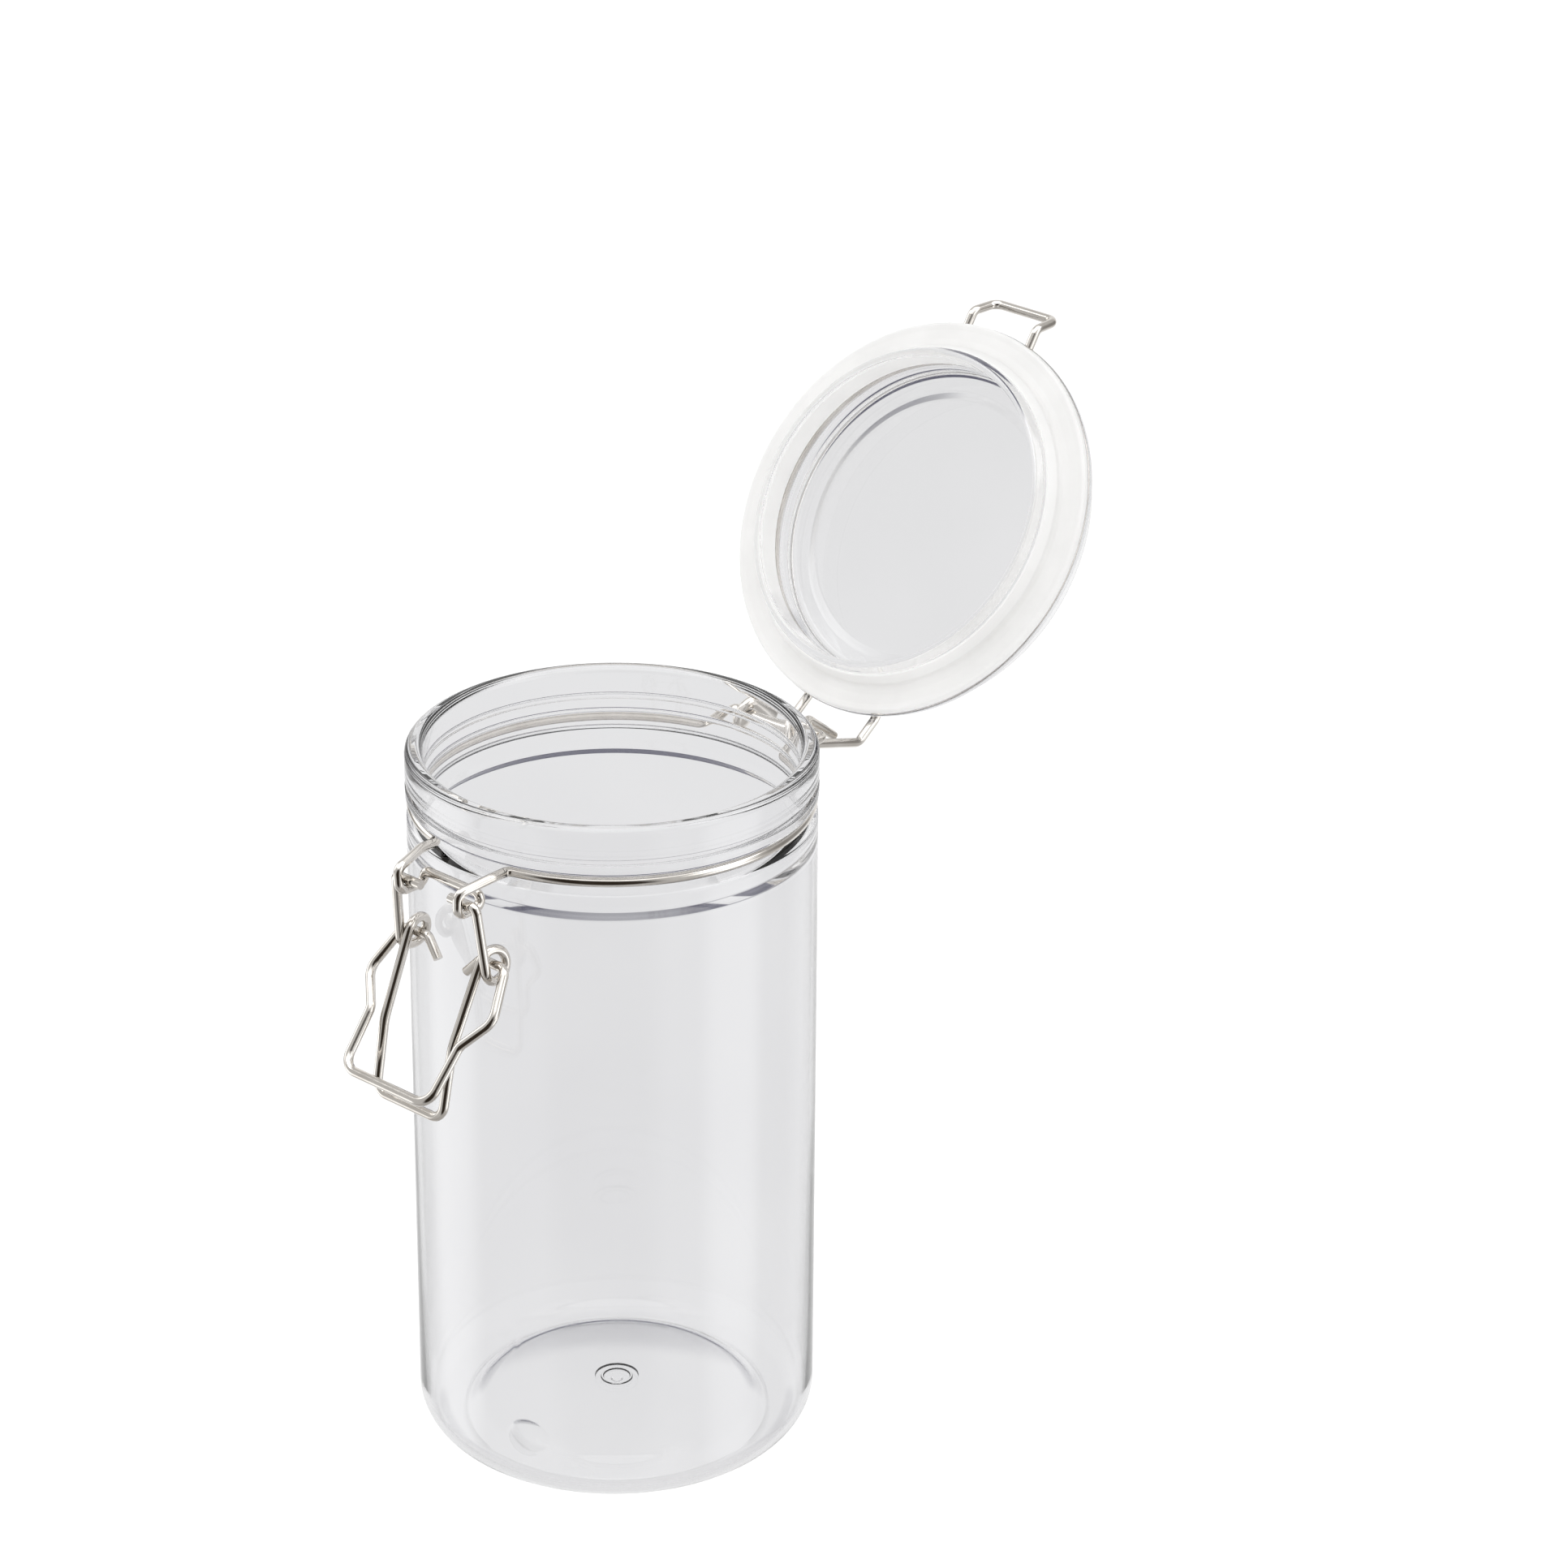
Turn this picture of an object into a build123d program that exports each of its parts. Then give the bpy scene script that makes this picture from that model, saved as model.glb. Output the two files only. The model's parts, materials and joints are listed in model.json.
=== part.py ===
from build123d import *

import os
from math import acos, asin, atan2, cos, degrees, pi, radians, sin, sqrt

os.makedirs("parts", exist_ok=True)

# Bail clamp jar, in millimetres. +Z is up the jar's axis from the middle of the face that it stands on.
# The clamp is on the -Y side, the lid's hinge is on the +Y side, and everything is symmetric about X = 0.
# The lid is drawn in its own frame, which is the jar's frame raised to the rim while the lid is shut,
# and is turned about the hinge to the open pose.

# ---- driving dimensions ----
JAR_HEIGHT = 185.0
RIM_RADIUS = 50.0
BODY_RADIUS = 49.8
MOUTH_RADIUS = 45.6
BODY_WALL = 1.5
BASE_THICKNESS = 2.0
HEEL_RADIUS = 10.5
FOOT_WIDTH = 1.4
PUSH_UP_HEIGHT = 6.5
WIRE_DIAMETER = 2.4
LID_OPEN_ANGLE = 124.5
GAP = 0.3

WIRE_RADIUS = WIRE_DIAMETER / 2

# ---- places that several pieces share ----
NECK_RING_Z = JAR_HEIGHT - 14.0
NECK_RING_RADIUS = 48.5
LEVER_PIVOT = Vector(0, -59.3, 166.0)
BAIL_PIVOT = Vector(0, -53.5, 149.3)
LID_PIVOT = Vector(0, 60.6, JAR_HEIGHT - 13.8)

# The lid's frame: its origin is the centre of the rim's top when the lid is shut.
OPEN = radians(LID_OPEN_ANGLE)
LID_DOWN = JAR_HEIGHT - LID_PIVOT.Z
LID_ORIGIN = LID_PIVOT + Vector(
    0,
    -LID_PIVOT.Y * cos(OPEN) + LID_DOWN * sin(OPEN),
    LID_PIVOT.Y * sin(OPEN) + LID_DOWN * cos(OPEN),
)
LID_NORMAL = Vector(0, sin(OPEN), cos(OPEN))
LID_PLANE = Plane(origin=LID_ORIGIN, x_dir=(1, 0, 0), z_dir=LID_NORMAL)
LID_AXIS = Axis(LID_ORIGIN, LID_NORMAL)
LID_SECTION_PLANE = Plane(origin=LID_ORIGIN, x_dir=(1, 0, 0), z_dir=-LID_PLANE.y_dir)


def path_length_report(name, solid, length):
    """Print a wire's volume against its section times its length."""
    expected = pi * WIRE_RADIUS**2 * length
    print(f"{name}: length {length:.1f} mm, volume ratio {solid.volume / expected:.4f}")


# ---- jar body: one turned shell, open at the mouth ----
NECK_BOTTOM = JAR_HEIGHT - 17.0
GROOVE_FLOOR_RADIUS = 47.2
GROOVE_TOP = JAR_HEIGHT - 12.2
GROOVE_BOTTOM = JAR_HEIGHT - 15.8
SLOT_RADIUS = 48.7
SLOT_TOP = JAR_HEIGHT - 8.0
SLOT_BOTTOM = JAR_HEIGHT - 9.4
RIM_ROUNDING = 1.8
NECK_FLARE_TOP = JAR_HEIGHT - 22.0
NECK_FLARE_BOTTOM = JAR_HEIGHT - 24.6
FOOT_RADIUS = BODY_RADIUS - HEEL_RADIUS
INNER_RADIUS = BODY_RADIUS - BODY_WALL
DISH_RADIUS = 33.5
DISH_HEIGHT = 3.2
DISH_INNER_RADIUS = DISH_RADIUS + 1.1
GATE_RADIUS = 5.5
GATE_DEPTH = 0.5

with BuildPart() as jar_body:
    with BuildSketch(Plane.XZ) as jar_section:
        with BuildLine() as jar_outline:
            heel_start = (FOOT_RADIUS, 0)
            heel_end = (BODY_RADIUS, HEEL_RADIUS)
            Polyline(
                heel_end,
                (BODY_RADIUS, NECK_BOTTOM),
                (GROOVE_FLOOR_RADIUS, GROOVE_BOTTOM),
                (GROOVE_FLOOR_RADIUS, GROOVE_TOP),
                (RIM_RADIUS, GROOVE_TOP),
                (RIM_RADIUS, SLOT_BOTTOM),
                (SLOT_RADIUS, SLOT_BOTTOM),
                (SLOT_RADIUS, SLOT_TOP),
                (RIM_RADIUS, SLOT_TOP),
                (RIM_RADIUS, JAR_HEIGHT),
                (MOUTH_RADIUS, JAR_HEIGHT),
                (MOUTH_RADIUS, NECK_FLARE_TOP),
                (INNER_RADIUS, NECK_FLARE_BOTTOM),
                (INNER_RADIUS, HEEL_RADIUS),
            )
            inner_heel = CenterArc(
                (FOOT_RADIUS, HEEL_RADIUS), HEEL_RADIUS - BODY_WALL, 0, -90
            )
            dish_top = (0, PUSH_UP_HEIGHT + BASE_THICKNESS)
            dish_inner_edge = (DISH_INNER_RADIUS, DISH_HEIGHT + BASE_THICKNESS - 0.1)
            TangentArc(dish_top, dish_inner_edge, tangent=(1, 0))
            Line(inner_heel @ 1, dish_inner_edge)
            Line(dish_top, (0, PUSH_UP_HEIGHT))
            dish_edge = (DISH_RADIUS, DISH_HEIGHT)
            TangentArc((0, PUSH_UP_HEIGHT), dish_edge, tangent=(1, 0))
            outer_slope = Line(dish_edge, (FOOT_RADIUS - FOOT_WIDTH, 0))
            Line(outer_slope @ 1, heel_start)
            CenterArc((FOOT_RADIUS, HEEL_RADIUS), HEEL_RADIUS, -90, 90)
        make_face()
    revolve(axis=Axis.Z)
    rim_edges = jar_body.edges().filter_by(GeomType.CIRCLE).group_by(Axis.Z)[-1]
    fillet(rim_edges, RIM_ROUNDING)
    with Locations((0, 0, PUSH_UP_HEIGHT + BASE_THICKNESS)):
        Cylinder(GATE_RADIUS, 2 * GATE_DEPTH, mode=Mode.SUBTRACT)
jar_body.part.label = "jar_body"
export_step(jar_body.part, "parts/jar_body.step")


# ---- neck wire: a ring in the groove, a clamp loop in front and a hinge loop behind ----
FRONT_ARM_X = 11.9
EYE_X = 9.8
EYE_RADIUS = WIRE_DIAMETER + 0.1
CROSSBAR_Y = -53.9
CROSSBAR_X = 9.2
REAR_ARM_X = 14.0
ARM_BEND = 2.0


def ring_y(radius, x):
    """Distance from the X axis of a ring's point at x."""
    return sqrt(radius**2 - x**2)


def half_ring(radius, front_x, front_stub, rear_x, rear_stub):
    """Ring from its front arm to its rear arm, on the +X side, with the start of each arm."""
    front_angle = degrees(asin(front_x / radius)) - 90
    rear_angle = 90 - degrees(asin(rear_x / radius))
    front_corner = (front_x, -ring_y(radius, front_x))
    rear_corner = (rear_x, ring_y(radius, rear_x))
    front = Line((front_x, front_corner[1] - front_stub), front_corner)
    CenterArc((0, 0), radius, front_angle, rear_angle - front_angle)
    rear = Line(rear_corner, (rear_x, rear_corner[1] + rear_stub))
    return front, rear


ARM_STUB = 4.0
with BuildPart() as neck_wire:
    with BuildLine(Plane.XY.offset(NECK_RING_Z)) as neck_ring:
        half_ring(NECK_RING_RADIUS, FRONT_ARM_X, ARM_STUB, REAR_ARM_X, ARM_STUB)
        corners = neck_ring.vertices().sort_by(Axis.Y)
        fillet([corners[1], corners[-2]], ARM_BEND)
    front_start = Vector(
        FRONT_ARM_X, -ring_y(NECK_RING_RADIUS, FRONT_ARM_X) - ARM_STUB, NECK_RING_Z
    )
    rear_start = Vector(
        REAR_ARM_X, ring_y(NECK_RING_RADIUS, REAR_ARM_X) + ARM_STUB, NECK_RING_Z
    )
    eye_front = LEVER_PIVOT.Y - EYE_RADIUS
    eye_bottom = LEVER_PIVOT.Z - EYE_RADIUS
    with BuildLine() as neck_path:
        FilletPolyline(
            (0, CROSSBAR_Y, LEVER_PIVOT.Z + 0.6),
            (CROSSBAR_X, CROSSBAR_Y, LEVER_PIVOT.Z + 0.6),
            (EYE_X - 0.2, CROSSBAR_Y, eye_bottom),
            (EYE_X, eye_front, eye_bottom),
            (EYE_X + 0.3, eye_front, NECK_RING_Z - 1.6),
            front_start - Vector(0, 1.5, 0),
            front_start,
            radius=(1.6, 2.0, EYE_RADIUS, 2.2, 4.0),
        )
        add(neck_ring.line)
        FilletPolyline(
            rear_start,
            rear_start + Vector(0, 2.0, 0),
            (REAR_ARM_X, LID_PIVOT.Y, LID_PIVOT.Z),
            (0, LID_PIVOT.Y, LID_PIVOT.Z),
            radius=(4.0, 1.7),
        )
    neck_centreline = neck_path.wire()
    with BuildSketch(Plane(origin=neck_centreline @ 0, z_dir=neck_centreline % 0)):
        Circle(WIRE_RADIUS)
    sweep(path=neck_centreline)
    mirror(about=Plane.YZ)
neck_wire.part.label = "neck_wire"
export_step(neck_wire.part, "parts/neck_wire.step")
path_length_report("neck_wire", neck_wire.part, 2 * neck_centreline.length)


# ---- lever: pivot stubs in the neck wire's eyes, a coil on each leg and a handle loop ----
STUB_TIP_X = 4.9
LEVER_TOP_X = 13.5
COIL_RADIUS = 3.6
COIL_OUTER_X = 14.7
COIL_INNER_X = 12.2
KINK_X = 11.5
KINK_Y = -66.0
KINK_Z = 131.0
HANDLE_X = 11.2
HANDLE_Y = -69.5
HANDLE_Z = 113.3
STUB_BEND = 1.6
HANDLE_BEND = 3.6

coil_low = BAIL_PIVOT.Z - COIL_RADIUS
coil_high = BAIL_PIVOT.Z + COIL_RADIUS
coil_front = BAIL_PIVOT.Y - COIL_RADIUS
coil_back = BAIL_PIVOT.Y + COIL_RADIUS
coil_pitch = (COIL_OUTER_X - COIL_INNER_X) / 3

# The leg under the coil leaves the coil's circle at a tangent and runs to the kink.
kink_offset = Vector(0, KINK_Y, KINK_Z) - BAIL_PIVOT
kink_distance = kink_offset.length
leave_angle = atan2(kink_offset.Z, kink_offset.Y) - acos(COIL_RADIUS / kink_distance)
leave_y = BAIL_PIVOT.Y + COIL_RADIUS * cos(leave_angle)
leave_z = BAIL_PIVOT.Z + COIL_RADIUS * sin(leave_angle)
leave_top_y = leave_y + (coil_high - leave_z) * (leave_y - KINK_Y) / (leave_z - KINK_Z)

with BuildPart() as lever_wire:
    with BuildLine() as lever_path:
        FilletPolyline(
            (0, HANDLE_Y, HANDLE_Z),
            (HANDLE_X, HANDLE_Y, HANDLE_Z),
            (KINK_X, KINK_Y, KINK_Z),
            (COIL_INNER_X, leave_top_y, coil_high),
            (COIL_INNER_X + coil_pitch, coil_back, coil_high),
            (COIL_INNER_X + 2 * coil_pitch, coil_back, coil_low),
            (COIL_OUTER_X, coil_front, coil_low),
            (LEVER_TOP_X, LEVER_PIVOT.Y, LEVER_PIVOT.Z),
            (STUB_TIP_X, LEVER_PIVOT.Y, LEVER_PIVOT.Z),
            radius=(
                HANDLE_BEND,
                12.0,
                COIL_RADIUS,
                COIL_RADIUS - 0.02,
                COIL_RADIUS - 0.02,
                COIL_RADIUS - 0.05,
                STUB_BEND,
            ),
        )
    lever_centreline = lever_path.wire()
    with BuildSketch(Plane(origin=lever_centreline @ 0, z_dir=lever_centreline % 0)):
        Circle(WIRE_RADIUS)
    sweep(path=lever_centreline)
    mirror(about=Plane.YZ)
lever_wire.part.label = "lever_wire"
export_step(lever_wire.part, "parts/lever_wire.step")
path_length_report("lever_wire", lever_wire.part, 2 * lever_centreline.length)


# ---- bail: bent ends through the lever's coils, a wide knee that passes the eyes, a narrow loop ----
BAIL_LEAN = 40.0
BAIL_LENGTH = 36.6
BAIL_KNEE_X = 20.9
BAIL_KNEE_AT = 12.6
BAIL_WAIST_X = 15.0
BAIL_WAIST_AT = 21.0
BAIL_LOOP_X = 14.4
BAIL_PIN_OUTER_X = 17.0
BAIL_PIN_INNER_X = 9.0
BAIL_TAIL_X = 4.8
BAIL_TAIL_DROP = 4.4


def bail_point(x, along):
    """Point on the bail at a distance from its pivot, in the plane in which it hangs."""
    lean = radians(BAIL_LEAN)
    return BAIL_PIVOT + Vector(x, -along * sin(lean), -along * cos(lean))


with BuildPart() as bail_wire:
    with BuildLine() as bail_path:
        FilletPolyline(
            bail_point(0, BAIL_LENGTH),
            bail_point(BAIL_LOOP_X, BAIL_LENGTH),
            bail_point(BAIL_WAIST_X, BAIL_WAIST_AT),
            bail_point(BAIL_KNEE_X, BAIL_KNEE_AT),
            bail_point(BAIL_PIN_OUTER_X, 0),
            bail_point(BAIL_PIN_INNER_X, 0),
            bail_point(BAIL_TAIL_X, 0) - Vector(0, 0.9, BAIL_TAIL_DROP),
            radius=(4.2, 4.0, 5.0, 2.5, 1.8),
        )
    bail_centreline = bail_path.wire()
    with BuildSketch(Plane(origin=bail_centreline @ 0, z_dir=bail_centreline % 0)):
        Circle(WIRE_RADIUS)
    sweep(path=bail_centreline)
    mirror(about=Plane.YZ)
bail_wire.part.label = "bail_wire"
export_step(bail_wire.part, "parts/bail_wire.step")
path_length_report("bail_wire", bail_wire.part, 2 * bail_centreline.length)


# ---- lid: plug skirt, flange, wire groove and top lip, one turned shell with a recess under it ----
PLUG_RADIUS = 43.0
PLUG_TAPER_TOP = -4.4
PLUG_BOTTOM = -6.4
PLUG_TIP_RADIUS = 41.9
SEAL_BOTTOM = GAP
SEAL_TOP = 2.6
SEAL_RADIUS = 51.5
SEAL_INNER_RADIUS = PLUG_RADIUS + 0.05
FLANGE_BOTTOM = SEAL_TOP + 0.02
FLANGE_TOP = 4.5
FLANGE_RADIUS = 51.8
DRUM_RADIUS = 46.0
LIP_BOTTOM = 8.2
LID_TOP = 11.0
LIP_RADIUS = 48.0
RECESS_TOP = 9.0
RECESS_RADIUS = 40.4
PANEL_RADIUS = 35.0
PANEL_DEPTH = 0.6

with BuildPart() as lid:
    with BuildSketch(LID_SECTION_PLANE) as lid_section:
        with BuildLine() as lid_outline:
            # The plug's tip tapers so that its back edge swings clear of the rim as the lid turns.
            Polyline(
                (PLUG_RADIUS, PLUG_TAPER_TOP),
                (PLUG_TIP_RADIUS, PLUG_BOTTOM),
                (RECESS_RADIUS, PLUG_BOTTOM),
                (RECESS_RADIUS, RECESS_TOP),
                (0, RECESS_TOP),
                (0, LID_TOP - PANEL_DEPTH),
                (PANEL_RADIUS, LID_TOP - PANEL_DEPTH),
                (PANEL_RADIUS, LID_TOP),
                (LIP_RADIUS, LID_TOP),
                (LIP_RADIUS, LIP_BOTTOM),
                (DRUM_RADIUS, LIP_BOTTOM),
                (DRUM_RADIUS, FLANGE_TOP),
                (FLANGE_RADIUS, FLANGE_TOP),
                (FLANGE_RADIUS, FLANGE_BOTTOM),
                (PLUG_RADIUS, FLANGE_BOTTOM),
                close=True,
            )
        make_face()
    revolve(axis=LID_AXIS)
lid.part.label = "lid"
export_step(lid.part, "parts/lid.step")


# ---- gasket: a soft sleeve round the plug, with a flange that is dished where it meets the rim ----
SEAL_DISH = 0.5
SLEEVE_RADIUS = 44.8
SLEEVE_TAPER_TOP = -1.2
SLEEVE_BOTTOM = -3.4
SLEEVE_TIP_RADIUS = 43.5

with BuildPart() as gasket:
    with BuildSketch(LID_SECTION_PLANE) as seal_section:
        with BuildLine() as seal_outline:
            Polyline(
                (SEAL_RADIUS, SEAL_BOTTOM),
                (SEAL_RADIUS, SEAL_TOP),
                (SEAL_INNER_RADIUS, SEAL_TOP),
                (SEAL_INNER_RADIUS, SLEEVE_BOTTOM),
                (SLEEVE_TIP_RADIUS, SLEEVE_BOTTOM),
                (SLEEVE_RADIUS, SLEEVE_TAPER_TOP),
                (SLEEVE_RADIUS, SEAL_BOTTOM),
            )
            ThreePointArc(
                (SLEEVE_RADIUS, SEAL_BOTTOM),
                ((SEAL_RADIUS + SLEEVE_RADIUS) / 2, SEAL_BOTTOM + SEAL_DISH),
                (SEAL_RADIUS, SEAL_BOTTOM),
            )
        make_face()
    revolve(axis=LID_AXIS)
gasket.part.label = "gasket"
export_step(gasket.part, "parts/gasket.step")


# ---- lid wire: a ring in the lid's groove, a catch in front and two hooks on the hinge bar ----
LID_RING_Z = 6.2
LID_RING_RADIUS = DRUM_RADIUS + WIRE_RADIUS + 0.1
CATCH_X = 10.4
CATCH_STUB = 6.0
CATCH_KNEE_Y = -55.6
CATCH_TIP_X = 9.9
CATCH_TIP_Y = -60.2
CATCH_TIP_Z = 12.8
LEG_X = 11.2
LEG_STUB = 3.0
LEG_BEND_Y = 57.8
LEG_BEND_Z = 3.7
HOOK_RADIUS = WIRE_DIAMETER + GAP
TAIL_X = 7.6
TAIL_Y = 58.8
TAIL_Z = -2.2

hinge_y = LID_PIVOT.Y
hinge_z = LID_PIVOT.Z - JAR_HEIGHT
hook_floor = hinge_z - HOOK_RADIUS
leg_offset_y = LEG_BEND_Y - hinge_y
leg_offset_z = LEG_BEND_Z - hinge_z
leg_distance = sqrt(leg_offset_y**2 + leg_offset_z**2)
touch_angle = atan2(leg_offset_z, leg_offset_y) - acos(HOOK_RADIUS / leg_distance)
touch_y = hinge_y + HOOK_RADIUS * cos(touch_angle)
touch_z = hinge_z + HOOK_RADIUS * sin(touch_angle)
hook_corner_y = touch_y + (touch_z - hook_floor) * (touch_y - LEG_BEND_Y) / (LEG_BEND_Z - touch_z)

with BuildPart() as lid_wire:
    with BuildLine(LID_PLANE.offset(LID_RING_Z)) as lid_ring:
        half_ring(LID_RING_RADIUS, CATCH_X, CATCH_STUB, LEG_X, LEG_STUB)
        ring_corners = lid_ring.vertices().sort_by(Axis(LID_ORIGIN, LID_PLANE.y_dir))
        fillet([ring_corners[1], ring_corners[-2]], ARM_BEND)
    catch_start_y = -ring_y(LID_RING_RADIUS, CATCH_X) - CATCH_STUB
    leg_start_y = ring_y(LID_RING_RADIUS, LEG_X) + LEG_STUB
    catch_points = [
        (0, CATCH_TIP_Y, CATCH_TIP_Z),
        (CATCH_TIP_X, CATCH_TIP_Y, CATCH_TIP_Z),
        (CATCH_X, CATCH_KNEE_Y, LID_RING_Z),
        (CATCH_X, catch_start_y, LID_RING_Z),
    ]
    leg_points = [
        (LEG_X, leg_start_y, LID_RING_Z),
        (LEG_X, leg_start_y + 2.0, LID_RING_Z),
        (LEG_X, LEG_BEND_Y, LEG_BEND_Z),
        (LEG_X, hook_corner_y, hook_floor),
        (TAIL_X + 0.6, hinge_y - HOOK_RADIUS, hook_floor),
        (TAIL_X, TAIL_Y, TAIL_Z),
    ]
    with BuildLine() as lid_wire_path:
        FilletPolyline(
            [LID_PLANE.from_local_coords(point) for point in catch_points],
            radius=(2.6, 2.2),
        )
        add(lid_ring.line)
        FilletPolyline(
            [LID_PLANE.from_local_coords(point) for point in leg_points],
            radius=(3.0, 2.6, HOOK_RADIUS, HOOK_RADIUS),
        )
    lid_centreline = lid_wire_path.wire()
    with BuildSketch(Plane(origin=lid_centreline @ 0, z_dir=lid_centreline % 0)):
        Circle(WIRE_RADIUS)
    sweep(path=lid_centreline)
    mirror(about=Plane.YZ)
lid_wire.part.label = "lid_wire"
export_step(lid_wire.part, "parts/lid_wire.step")
path_length_report("lid_wire", lid_wire.part, 2 * lid_centreline.length)
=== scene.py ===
import json
from math import acos, atan2, cos, degrees, pi, radians, sin, tan

import bmesh
import bpy
from mathutils import Matrix, Vector


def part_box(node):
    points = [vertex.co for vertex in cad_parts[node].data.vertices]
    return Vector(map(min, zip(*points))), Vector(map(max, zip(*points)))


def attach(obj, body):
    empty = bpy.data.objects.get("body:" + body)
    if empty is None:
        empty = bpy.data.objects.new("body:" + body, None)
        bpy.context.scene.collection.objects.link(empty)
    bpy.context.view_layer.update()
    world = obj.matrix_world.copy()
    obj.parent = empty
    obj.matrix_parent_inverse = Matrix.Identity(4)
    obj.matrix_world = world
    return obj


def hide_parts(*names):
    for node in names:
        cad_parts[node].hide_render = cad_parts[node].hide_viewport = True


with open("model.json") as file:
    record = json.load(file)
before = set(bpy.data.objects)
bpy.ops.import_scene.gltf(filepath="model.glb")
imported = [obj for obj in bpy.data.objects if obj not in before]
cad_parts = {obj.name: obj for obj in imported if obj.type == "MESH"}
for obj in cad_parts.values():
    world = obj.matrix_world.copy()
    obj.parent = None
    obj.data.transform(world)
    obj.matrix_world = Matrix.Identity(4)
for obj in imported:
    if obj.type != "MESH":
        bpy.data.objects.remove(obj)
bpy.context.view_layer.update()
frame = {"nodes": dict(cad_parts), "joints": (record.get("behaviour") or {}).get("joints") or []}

# Bail clamp jar, in metres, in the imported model's frame. Profiles are drawn in millimetres as
# (radius, height, rounding) corners, counter-clockwise, and turned about Z. The jar's profile is in the
# model's frame. The lid's and the gasket's are in the lid's own frame, whose origin is the middle of the
# rim's top while the lid is shut.
MM = 0.001

# ---- sizes read from the frame ----
jar_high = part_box("jar_body")[1]
RIM_TOP = jar_high.z / MM
RIM_RADIUS = jar_high.x / MM
hinge = next(j for j in frame["joints"] if j["name"] == "lid_hinge")
LID_PIVOT = Vector(hinge["pos_m"])
LID_OPEN_ANGLE = -radians(hinge["range_deg"][0])
LID_FRAME = (
    Matrix.Translation(LID_PIVOT)
    @ Matrix.Rotation(-LID_OPEN_ANGLE, 4, "X")
    @ Matrix.Translation(Vector((0, 0, jar_high.z)) - LID_PIVOT)
)

SEGMENTS = 256
JAR_SEGMENTS = 512
ON_AXIS = 1e-6
SHARP_ANGLE = radians(40)


# ---- turned shapes ----
def rounded_profile(corners, step=10.0):
    """Closed outline through (radius, height, rounding) corners, with an arc at each rounded one."""
    points = []
    count = len(corners)
    for i, (r, z, rounding) in enumerate(corners):
        here = Vector((r, z))
        if rounding <= 0:
            points.append((r, z))
            continue
        before = Vector(corners[i - 1][:2]) - here
        after = Vector(corners[(i + 1) % count][:2]) - here
        before.normalize()
        after.normalize()
        opening = acos(max(-1.0, min(1.0, before.dot(after))))
        setback = rounding / tan(opening / 2)
        start = here + before * setback
        end = here + after * setback
        centre = here + (before + after).normalized() * rounding / sin(opening / 2)
        first = atan2(start.y - centre.y, start.x - centre.x)
        sweep = atan2(end.y - centre.y, end.x - centre.x) - first
        sweep = (sweep + pi) % (2 * pi) - pi
        pieces = max(2, round(abs(degrees(sweep)) / step))
        for k in range(pieces + 1):
            angle = first + sweep * k / pieces
            points.append((centre.x + rounding * cos(angle), centre.y + rounding * sin(angle)))
    return points


def turned(name, outline, place=Matrix.Identity(4), press=None, segments=SEGMENTS):
    """Mesh object from a counter-clockwise outline in millimetres, turned about Z and put in its place."""
    vertices = []
    rings = []
    for r, z in outline:
        if r < ON_AXIS:
            rings.append([len(vertices)] * segments)
            vertices.append(Vector((0, 0, z)))
            continue
        rings.append(list(range(len(vertices), len(vertices) + segments)))
        for k in range(segments):
            angle = 2 * pi * k / segments
            vertices.append(Vector((r * cos(angle), r * sin(angle), z)))
    if press:
        vertices = [press(v) for v in vertices]
    faces = []
    for i, ring in enumerate(rings):
        below = rings[i - 1]
        for k in range(segments):
            nxt = (k + 1) % segments
            corners = [below[k], below[nxt], ring[nxt], ring[k]]
            face = list(dict.fromkeys(corners))
            if len(face) > 2:
                faces.append(face)
    mesh = bpy.data.meshes.new(name)
    mesh.from_pydata([place @ (v * MM) for v in vertices], [], faces)
    mesh.validate()
    mesh.polygons.foreach_set("use_smooth", [True] * len(mesh.polygons))
    mesh.set_sharp_from_angle(angle=SHARP_ANGLE)
    mesh.update()
    piece = bpy.data.objects.new(name, mesh)
    bpy.context.scene.collection.objects.link(piece)
    return piece


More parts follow.
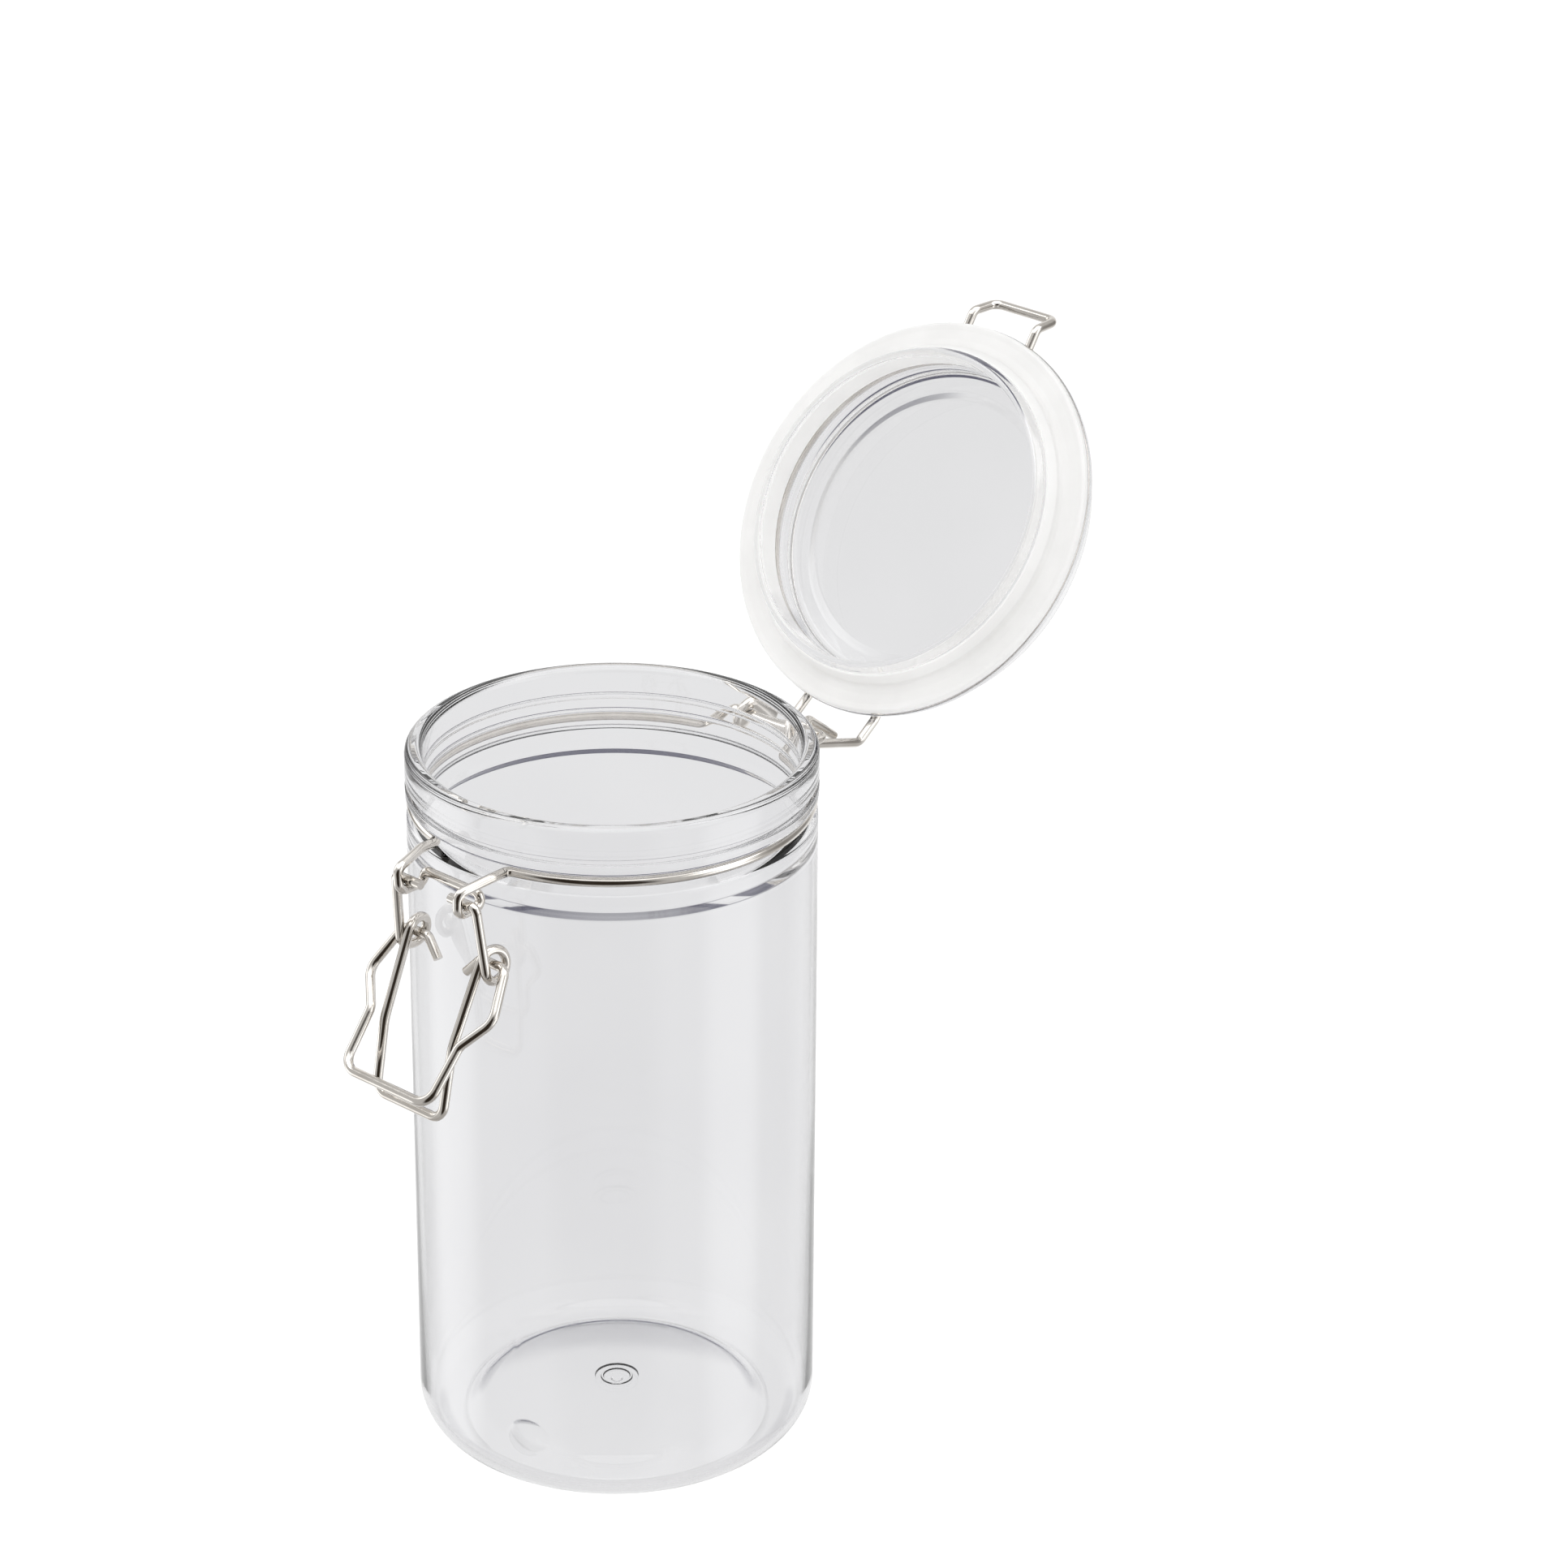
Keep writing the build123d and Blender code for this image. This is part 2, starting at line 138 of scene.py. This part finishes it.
# ---- materials ----
class Look:
    """A Principled material and the few node chains that the surfaces share."""

    def __init__(self, name, **values):
        self.material = bpy.data.materials.new(name)
        self.material.use_nodes = True
        self.nodes = self.material.node_tree.nodes
        self.links = self.material.node_tree.links
        self.shader = self.nodes["Principled BSDF"]
        for socket, value in values.items():
            self.shader.inputs[socket.replace("_", " ")].default_value = value
        self.coordinates = self.nodes.new("ShaderNodeTexCoord").outputs["Object"]

    def noise(self, scale, detail=3.0, stretch=(1, 1, 1)):
        """Noise over the surface, with scale in features per metre."""
        mapping = self.nodes.new("ShaderNodeMapping")
        mapping.inputs["Scale"].default_value = stretch
        self.links.new(self.coordinates, mapping.inputs["Vector"])
        noise = self.nodes.new("ShaderNodeTexNoise")
        noise.inputs["Scale"].default_value = scale
        noise.inputs["Detail"].default_value = detail
        self.links.new(mapping.outputs["Vector"], noise.inputs["Vector"])
        return noise.outputs["Fac"]

    def vary(self, socket, factor, low, high):
        """Lets a factor move a number between two values."""
        span = self.nodes.new("ShaderNodeMapRange")
        span.inputs["From Min"].default_value = 0.3
        span.inputs["From Max"].default_value = 0.7
        span.inputs["To Min"].default_value = low
        span.inputs["To Max"].default_value = high
        self.links.new(factor, span.inputs["Value"])
        self.links.new(span.outputs["Result"], self.shader.inputs[socket])

    def tint(self, factor, dark, light):
        """Lets a factor move the base colour between two colours."""
        ramp = self.nodes.new("ShaderNodeValToRGB")
        ramp.color_ramp.elements[0].position = 0.35
        ramp.color_ramp.elements[0].color = (*dark, 1)
        ramp.color_ramp.elements[1].position = 0.65
        ramp.color_ramp.elements[1].color = (*light, 1)
        self.links.new(factor, ramp.inputs["Fac"])
        self.links.new(ramp.outputs["Color"], self.shader.inputs["Base Color"])

    def relief(self, factor, depth, strength=1.0):
        """Raises the surface with a factor. Later calls add to earlier ones."""
        bump = self.nodes.new("ShaderNodeBump")
        bump.inputs["Distance"].default_value = depth
        bump.inputs["Strength"].default_value = strength
        self.links.new(factor, bump.inputs["Height"])
        existing = self.shader.inputs["Normal"].links
        if existing:
            self.links.new(existing[0].from_socket, bump.inputs["Normal"])
        self.links.new(bump.outputs["Normal"], self.shader.inputs["Normal"])


def clear_plastic(name, dark, light, waviness):
    """Clear moulded plastic: a faint grey body colour, slow waves in the wall and fine handling marks."""
    look = Look(name, Transmission_Weight=1.0, IOR=1.5)
    look.tint(look.noise(18, 2), dark, light)
    look.vary("Roughness", look.noise(160, 5), 0.0, 0.05)
    look.relief(look.noise(22, 1.5, (1, 1, 0.35)), waviness)
    return look.material


def polished_wire():
    """Polished drawn steel: warm grey metal with patchy roughness and faint fine scuffs."""
    look = Look("polished_wire", Metallic=1.0)
    look.tint(look.noise(90, 4), (0.64, 0.605, 0.56), (0.76, 0.73, 0.69))
    look.vary("Roughness", look.noise(420, 6), 0.07, 0.17)
    look.relief(look.noise(2600, 3), 0.000006)
    return look.material


def frosted_silicone():
    """Soft white silicone that lets some light through, with a moulded satin skin."""
    look = Look(
        "frosted_silicone",
        Transmission_Weight=0.15,
        IOR=1.41,
        Subsurface_Weight=0.35,
        Subsurface_Scale=0.004,
        Subsurface_Radius=(1.0, 1.0, 1.0),
    )
    look.tint(look.noise(60, 4), (0.82, 0.815, 0.805), (0.87, 0.865, 0.855))
    look.vary("Roughness", look.noise(300, 4), 0.38, 0.55)
    look.relief(look.noise(1800, 3), 0.00003, 0.6)
    return look.material


# ---- jar shell ----
BODY_RADIUS = RIM_RADIUS - 0.2
WALL = 1.5
HEEL = 10.5
FOOT_RADIUS = BODY_RADIUS - HEEL
DOME = 6.5
BASE = 2.0
MOUTH_RADIUS = 45.6
GATE_RADIUS = 5.5
PARTING_ANGLE = radians(-75)
PARTING_WIDTH = 1.05
PARTING_HEIGHT = 0.012
MARK_ANGLE = radians(-71.4)
MARK_HEIGHT = 18.0
MARK_HALF_WIDTH = 5.9
MARK_HALF_TALL = 5.2
MARK_DEPTH = 1.2
FOOT_WIDTH = 1.4
GROOVE_DEPTH = 2.8
SLOT_DEPTH = 1.3
GROOVE_BOTTOM = RIM_TOP - 15.9
GROOVE_TOP = RIM_TOP - 12.2
SLOT_BOTTOM = RIM_TOP - 9.4
SLOT_TOP = RIM_TOP - 8.0
NECK_BOTTOM = RIM_TOP - 17.6
FLARE_TOP = RIM_TOP - 22.0
FLARE_BOTTOM = RIM_TOP - 24.6
RIM_ROUNDING = 1.8
DISH_RADIUS = 33.5
DISH_HEIGHT = 3.2
DISH_INNER_RADIUS = 34.6
DISH_INNER_HEIGHT = 5.1
GATE_FLOOR = DOME + BASE - 0.5
GATE_RING = DOME + BASE - 0.2


def dome_points(radius, edge_height, top_height, count=14):
    """Shallow dome from its edge up to the axis."""
    rise = top_height - edge_height
    ball = (radius**2 + rise**2) / (2 * rise)
    points = []
    for k in range(count):
        r = radius * (1 - k / count)
        points.append((r, top_height - ball + (ball**2 - r**2) ** 0.5, 0))
    return points


heel_corners = [
    (FOOT_RADIUS + HEEL * sin(radians(a)), HEEL - HEEL * cos(radians(a)), 0) for a in range(0, 91, 6)
]
inner_heel_corners = [
    (FOOT_RADIUS + (HEEL - WALL) * cos(radians(a)), HEEL - (HEEL - WALL) * sin(radians(a)), 0)
    for a in range(0, 85, 6)
]
inner_heel_corners.append((FOOT_RADIUS - 0.4, WALL, 2.5))
mark_rows = [(BODY_RADIUS, MARK_HEIGHT + 0.5 * k, 0) for k in range(-12, 13)]
outer_dome = dome_points(DISH_RADIUS, DISH_HEIGHT, DOME)
inner_dome = dome_points(DISH_INNER_RADIUS, DISH_INNER_HEIGHT, DOME + BASE)
inner_dome[0:2] = [(DISH_INNER_RADIUS, DISH_INNER_HEIGHT, 10.0)]
outer_dome[0:2] = [(DISH_RADIUS, DISH_HEIGHT, 8.0)]
inner_dome = [p for p in inner_dome if p[0] > GATE_RADIUS + 0.6]
jar_outline = (
    [(FOOT_RADIUS - FOOT_WIDTH, 0, 0.4)]
    + heel_corners
    + mark_rows
    + [
        (BODY_RADIUS, NECK_BOTTOM, 1.2),
        (RIM_RADIUS - GROOVE_DEPTH, GROOVE_BOTTOM, 0.8),
        (RIM_RADIUS - GROOVE_DEPTH, GROOVE_TOP, 0.5),
        (RIM_RADIUS, GROOVE_TOP, 0.6),
        (RIM_RADIUS, SLOT_BOTTOM, 0.4),
        (RIM_RADIUS - SLOT_DEPTH, SLOT_BOTTOM, 0.3),
        (RIM_RADIUS - SLOT_DEPTH, SLOT_TOP, 0.3),
        (RIM_RADIUS, SLOT_TOP, 0.4),
        (RIM_RADIUS, RIM_TOP, RIM_ROUNDING),
        (MOUTH_RADIUS, RIM_TOP, RIM_ROUNDING),
        (MOUTH_RADIUS, FLARE_TOP, 2.0),
        (BODY_RADIUS - WALL, FLARE_BOTTOM, 2.0),
    ]
    + inner_heel_corners
    + inner_dome
    + [
        (GATE_RADIUS, DOME + BASE - 0.05, 0.15),
        (GATE_RADIUS, GATE_FLOOR, 0.15),
        (4.1, GATE_FLOOR, 0.1),
        (3.9, GATE_RING, 0.1),
        (3.5, GATE_RING, 0.1),
        (3.3, GATE_FLOOR, 0.1),
        (0, GATE_FLOOR, 0),
        (0, DOME - 0.7, 0),
        (1.2, DOME - 0.7, 0.25),
        (1.5, DOME, 0.2),
    ]
    + [p for p in reversed(outer_dome) if p[0] > 3.0]
)


def press_jar(v):
    """Raises the mould's two parting lines on the outer wall, and presses in an oval mark above the heel."""
    radius = (v.x**2 + v.y**2) ** 0.5
    if radius < BODY_RADIUS - 0.6 * WALL or v.z < HEEL:
        return v
    angle = atan2(v.y, v.x)
    rise = 0.0
    for seam in (PARTING_ANGLE, PARTING_ANGLE + pi):
        away = abs(2 * radius * sin((angle - seam) / 2))
        rise += PARTING_HEIGHT * max(0.0, 1 - away / PARTING_WIDTH)
    away = 2 * radius * sin((angle - MARK_ANGLE) / 2)
    spread = (away / MARK_HALF_WIDTH) ** 2 + ((v.z - MARK_HEIGHT) / MARK_HALF_TALL) ** 2
    if spread < 1:
        rise = -MARK_DEPTH * (1 - spread) ** 0.9
    return Vector((v.x * (1 + rise / radius), v.y * (1 + rise / radius), v.z))


jar_shell = turned("jar_shell", rounded_profile(jar_outline), press=press_jar, segments=JAR_SEGMENTS)
jar_shell.data.materials.append(
    clear_plastic("clear_jar_plastic", (0.975, 0.975, 0.98), (0.995, 0.995, 0.998), 0.00025)
)
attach(jar_shell, "jar")
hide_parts("jar_body")
jar_shell.visible_shadow = False
jar_shell.visible_diffuse = False

# ---- lid shell ----
PLUG_RADIUS = 43.0
PLUG_TIP_RADIUS = 41.9
PLUG_BOTTOM = -6.4
PLUG_TAPER_TOP = -4.4
RECESS_RADIUS = 40.4
RECESS_TOP = 9.0
PANEL_RADIUS = 35.0
PANEL_SLOPE = 1.2
PANEL_TOP = 10.4
PANEL_UNDERSIDE = 9.4
LIP_RADIUS = 48.0
DRUM_RADIUS = 46.0
FLANGE_RADIUS = 51.8
FLANGE_BOTTOM = 2.62
FLANGE_TOP = 4.5
LIP_BOTTOM = 8.2
LID_TOP = 11.0
lid_corners = [
    (PLUG_RADIUS, FLANGE_BOTTOM, 0.2),
    (FLANGE_RADIUS, FLANGE_BOTTOM, 0.5),
    (FLANGE_RADIUS, FLANGE_TOP, 0.7),
    (DRUM_RADIUS, FLANGE_TOP, 0.8),
    (DRUM_RADIUS, LIP_BOTTOM, 0.8),
    (LIP_RADIUS, LIP_BOTTOM, 0.6),
    (LIP_RADIUS, LID_TOP, 0.9),
    (PANEL_RADIUS + PANEL_SLOPE, LID_TOP, 2.5),
    (PANEL_RADIUS - PANEL_SLOPE, PANEL_TOP, 2.5),
    (0, PANEL_TOP, 0),
    (0, PANEL_UNDERSIDE, 0),
    (PANEL_RADIUS - PANEL_SLOPE, PANEL_UNDERSIDE, 2.5),
    (PANEL_RADIUS + PANEL_SLOPE, RECESS_TOP, 2.5),
    (RECESS_RADIUS, RECESS_TOP, 1.6),
    (RECESS_RADIUS, PLUG_BOTTOM, 0.7),
    (PLUG_TIP_RADIUS, PLUG_BOTTOM, 0.7),
    (PLUG_RADIUS, PLUG_TAPER_TOP, 1.5),
]
lid_shell = turned("lid_shell", rounded_profile(lid_corners), LID_FRAME)
lid_shell.data.materials.append(
    clear_plastic("clear_lid_plastic", (0.955, 0.955, 0.957), (0.985, 0.985, 0.987), 0.0002)
)
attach(lid_shell, "lid")
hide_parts("lid")
lid_shell.visible_shadow = False
lid_shell.visible_diffuse = False

# ---- sealing ring ----
SEAL_RADIUS = 51.5
SEAL_TOP = 2.6
SEAL_BOTTOM = 0.35
SEAL_DISH = 0.8
SLEEVE_RADIUS = 44.8
SLEEVE_BOTTOM = -3.4
# The sleeve reaches 0.08 mm into the plug, so that no gap of air is seen between them through the lid.
SLEEVE_INNER_RADIUS = PLUG_RADIUS - 0.08
gasket_corners = [
    (SLEEVE_RADIUS, SEAL_BOTTOM, 1.2),
    (47.0, SEAL_DISH, 1.5),
    (49.6, SEAL_DISH, 1.5),
    (SEAL_RADIUS, SEAL_BOTTOM, 0.7),
    (SEAL_RADIUS, SEAL_TOP, 0.5),
    (SLEEVE_INNER_RADIUS, SEAL_TOP, 0.1),
    (SLEEVE_INNER_RADIUS, SLEEVE_BOTTOM, 0.1),
    (43.5, SLEEVE_BOTTOM, 0.25),
    (SLEEVE_RADIUS, -1.2, 0.8),
]
seal_ring = turned("seal_ring", rounded_profile(gasket_corners, 15), LID_FRAME)
seal_ring.data.materials.append(frosted_silicone())
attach(seal_ring, "lid")
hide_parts("gasket")

# ---- wires ----
wire_look = polished_wire()
for node in ("neck_wire", "lever_wire", "bail_wire", "lid_wire"):
    wire = frame["nodes"][node]
    wire.data.polygons.foreach_set("use_smooth", [True] * len(wire.data.polygons))
    wire.data.set_sharp_from_angle(angle=SHARP_ANGLE)
    wire.data.materials.clear()
    wire.data.materials.append(wire_look)


# ---- floor, light and camera ----
FLOOR_SIDE = 6.0


def pale_floor():
    """A plain pale floor, with the faint unevenness of a painted board."""
    look = Look("pale_floor")
    look.tint(look.noise(6, 4), (0.91, 0.91, 0.91), (0.93, 0.93, 0.93))
    look.vary("Roughness", look.noise(40, 4), 0.6, 0.75)
    return look.material


floor_mesh = bpy.data.meshes.new("floor")
half = FLOOR_SIDE / 2
floor_mesh.from_pydata(
    [(-half, -half, 0), (half, -half, 0), (half, half, 0), (-half, half, 0)], [], [(0, 1, 2, 3)]
)
floor_mesh.materials.append(pale_floor())
floor = bpy.data.objects.new("floor", floor_mesh)
bpy.context.scene.collection.objects.link(floor)

CAMERA_AZIMUTH = radians(42.67)
CAMERA_ELEVATION = radians(24.56)
CAMERA_ROLL = radians(0.34)
CAMERA_DISTANCE = 1.3
CAMERA_LENS = 120.4
CAMERA_SHIFT = 0.0105
AIM_RIGHT = -0.0379
AIM_DOWN = -0.0764
AIM_HEIGHT = 0.09
SENSOR_WIDTH = 36

towards_camera = Vector(
    (
        sin(CAMERA_AZIMUTH) * cos(CAMERA_ELEVATION),
        -cos(CAMERA_AZIMUTH) * cos(CAMERA_ELEVATION),
        sin(CAMERA_ELEVATION),
    )
)
turn = towards_camera.to_track_quat("Z", "Y").to_matrix().to_4x4()
turn = turn @ Matrix.Rotation(CAMERA_ROLL, 4, "Z")
camera_data = bpy.data.cameras.new("camera")
camera_data.lens = CAMERA_LENS
camera_data.sensor_width = SENSOR_WIDTH
camera_data.shift_x = CAMERA_SHIFT
camera = bpy.data.objects.new("camera", camera_data)
aim = Vector((0, 0, AIM_HEIGHT)) - turn.to_3x3() @ Vector((AIM_RIGHT, AIM_DOWN, 0))
camera.matrix_world = Matrix.Translation(aim + towards_camera * CAMERA_DISTANCE) @ turn
bpy.context.scene.collection.objects.link(camera)
bpy.context.scene.camera = camera


WORLD_STRENGTH = 1.2
TENT_HEIGHT = 0.12
REFLECTION_TENT_RADIUS = 4.0
SEEN_THROUGH_TENT_RADIUS = 4.2


def direction(azimuth, elevation):
    """Unit vector with its azimuth turned from -Y towards +X, both angles in degrees."""
    a = radians(azimuth)
    e = radians(elevation)
    return Vector((sin(a) * cos(e), -cos(a) * cos(e), sin(e)))


def patches(tree, vector, base, spots):
    """A base colour with round patches, each (azimuth, elevation, inner, outer, colour) in degrees."""
    nodes = tree.nodes
    links = tree.links
    colour = nodes.new("ShaderNodeRGB")
    colour.outputs[0].default_value = (*base, 1)
    result = colour.outputs[0]
    for azimuth, elevation, inner, outer, spot in spots:
        facing = nodes.new("ShaderNodeVectorMath")
        facing.operation = "DOT_PRODUCT"
        facing.inputs[1].default_value = direction(azimuth, elevation)
        links.new(vector, facing.inputs[0])
        edge = nodes.new("ShaderNodeMapRange")
        edge.interpolation_type = "SMOOTHSTEP"
        edge.inputs["From Min"].default_value = cos(radians(outer))
        edge.inputs["From Max"].default_value = cos(radians(inner))
        links.new(facing.outputs["Value"], edge.inputs["Value"])
        mix = nodes.new("ShaderNodeMix")
        mix.data_type = "RGBA"
        mix.inputs["B"].default_value = (*spot, 1)
        links.new(edge.outputs["Result"], mix.inputs["Factor"])
        links.new(result, mix.inputs["A"])
        result = mix.outputs["Result"]
    return result


def studio_world():
    """Even white light from all sides, which is also the background."""
    world = bpy.data.worlds.new("studio")
    world.use_nodes = True
    background = world.node_tree.nodes["Background"]
    background.inputs["Color"].default_value = (1, 1, 1, 1)
    background.inputs["Strength"].default_value = WORLD_STRENGTH
    bpy.context.scene.world = world


def light_tent(name, radius, base, spots):
    """Glowing sphere round the set, with its panels painted on by direction."""
    mesh = bpy.data.meshes.new(name)
    shell = bmesh.new()
    bmesh.ops.create_uvsphere(shell, u_segments=64, v_segments=32, radius=radius)
    shell.to_mesh(mesh)
    shell.free()
    mesh.polygons.foreach_set("use_smooth", [True] * len(mesh.polygons))
    material = bpy.data.materials.new(name)
    material.use_nodes = True
    tree = material.node_tree
    tree.nodes.clear()
    place = tree.nodes.new("ShaderNodeTexCoord").outputs["Object"]
    unit = tree.nodes.new("ShaderNodeVectorMath")
    unit.operation = "NORMALIZE"
    tree.links.new(place, unit.inputs[0])
    glow = tree.nodes.new("ShaderNodeEmission")
    tree.links.new(patches(tree, unit.outputs[0], base, spots), glow.inputs["Color"])
    output = tree.nodes.new("ShaderNodeOutputMaterial")
    tree.links.new(glow.outputs["Emission"], output.inputs["Surface"])
    mesh.materials.append(material)
    tent = bpy.data.objects.new(name, mesh)
    tent.location = (0, 0, TENT_HEIGHT)
    tent.visible_camera = False
    tent.visible_diffuse = False
    tent.visible_shadow = False
    bpy.context.scene.collection.objects.link(tent)
    return tent


def seen_through_tent():
    """What is seen through the clear plastic: a grey as painted shade, in the floor's place below and in a
    round patch high up behind, a white sky and a dim gap low down behind.

    It takes the floor's place for transmitted rays. The gap and the round patch are fixed in the world,
    on the side away from the camera.
    """
    # Painted shade: the floor seen through the plastic is painted this grey, darker than it is lit. The same
    # grey darkens a round patch high up behind.
    painted_shade_grey = (0.79, 0.79, 0.797)
    gap = (0.06, 0.06, 0.105)
    spots = [(0, -90, 82, 93, painted_shade_grey), (222, 48, 30, 48, painted_shade_grey)]
    spots += [(azimuth, 8, 6, 14, gap) for azimuth in range(204, 245, 10)]
    tent = light_tent("seen_through_tent", SEEN_THROUGH_TENT_RADIUS, (0.98, 0.98, 0.985), spots)
    tent.visible_glossy = False


def reflection_tent():
    """What only mirror reflections see: softboxes, dark flags on the camera's side, and a painted reflection
    of the floor below, painted grey as shade.
    """
    dark = (0.035, 0.027, 0.02)
    dim = (0.32, 0.31, 0.3)
    soft = (1.8, 1.8, 1.8)
    bright = (3.6, 3.6, 3.6)
    pale = (1.0, 1.0, 1.0)
    # Painted reflection and painted shade: mirror reflections don't see the floor. Straight down they see
    # this grey instead, which is darker than the lit floor.
    painted_shade_grey = (0.5, 0.49, 0.48)
    spots = [
        (0, -90, 30, 60, painted_shade_grey),
        (222, -20, 40, 65, pale),
        (42, 84, 24, 44, soft),
        (32, 10, 24, 40, dark),
        (38, -14, 20, 38, dark),
        (268, 4, 12, 30, dim),
        (156, 4, 12, 30, dim),
        (-78, 20, 12, 26, soft),
        (-60, -22, 6, 24, soft),
        (106, 18, 10, 26, soft),
        (114, -22, 6, 22, soft),
        (-46, 54, 8, 16, bright),
        (128, 50, 10, 20, bright),
    ]
    tent = light_tent("reflection_tent", REFLECTION_TENT_RADIUS, (0.62, 0.615, 0.61), spots)
    tent.visible_transmission = False


floor.visible_glossy = False
floor.visible_transmission = False
seen_through_tent()
reflection_tent()
studio_world()
bpy.context.scene.view_settings.view_transform = "Standard"
